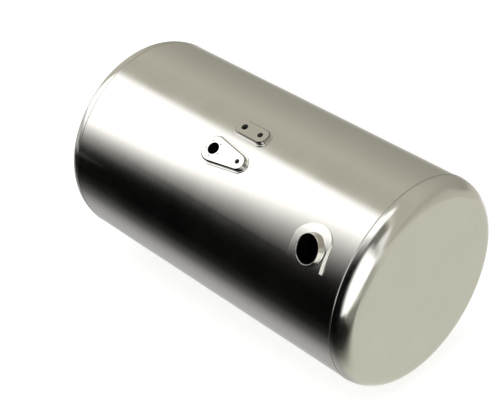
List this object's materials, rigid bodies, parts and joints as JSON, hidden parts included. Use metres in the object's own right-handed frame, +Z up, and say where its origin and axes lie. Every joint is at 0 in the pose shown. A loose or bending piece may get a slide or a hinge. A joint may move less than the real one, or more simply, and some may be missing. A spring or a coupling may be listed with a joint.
{
  "type": "truck fuel tank",
  "caption": "Round polished aluminium fuel tank with pressed ends, an open filler neck on a raised seat, a level sender plate and a plate with two line ports.",
  "frame": {"origin": "middle of the drum's axis, halfway between the outer end faces", "axes": "+X along the drum's axis towards the filler's end, +Z up, -Y is the side that the filler faces"},
  "size_m": [1.212, 0.6614, 0.6814],
  "materials": {
    "polished": "polished sheet",
    "weld": "dressed weld metal",
    "mill_finish": "mill finish",
    "plug_steel": "zinc plated",
    "washer": "soft annealed"
  },
  "bodies": {
    "root": {"shell": "polished", "filler_end_head": "polished", "far_end_head": "polished", "filler_seat": "polished", "filler_neck": "polished", "sender_plate": "polished", "port_plate": "polished", "drain_boss": "polished", "shell_seam_weld": "weld", "filler_end_weld": "weld", "far_end_weld": "weld", "filler_end_baffle_stitches": "weld", "far_end_baffle_stitches": "weld", "filler_seat_weld": "weld", "filler_neck_weld": "weld", "sender_plate_weld": "weld", "port_plate_weld": "weld", "drain_boss_weld": "weld", "filler_end_baffle": "mill_finish", "far_end_baffle": "mill_finish", "supply_tube": "mill_finish", "return_tube": "mill_finish", "tube_brace": "mill_finish", "drain_plug": "plug_steel", "drain_washer": "washer"}
  },
  "joints": []
}
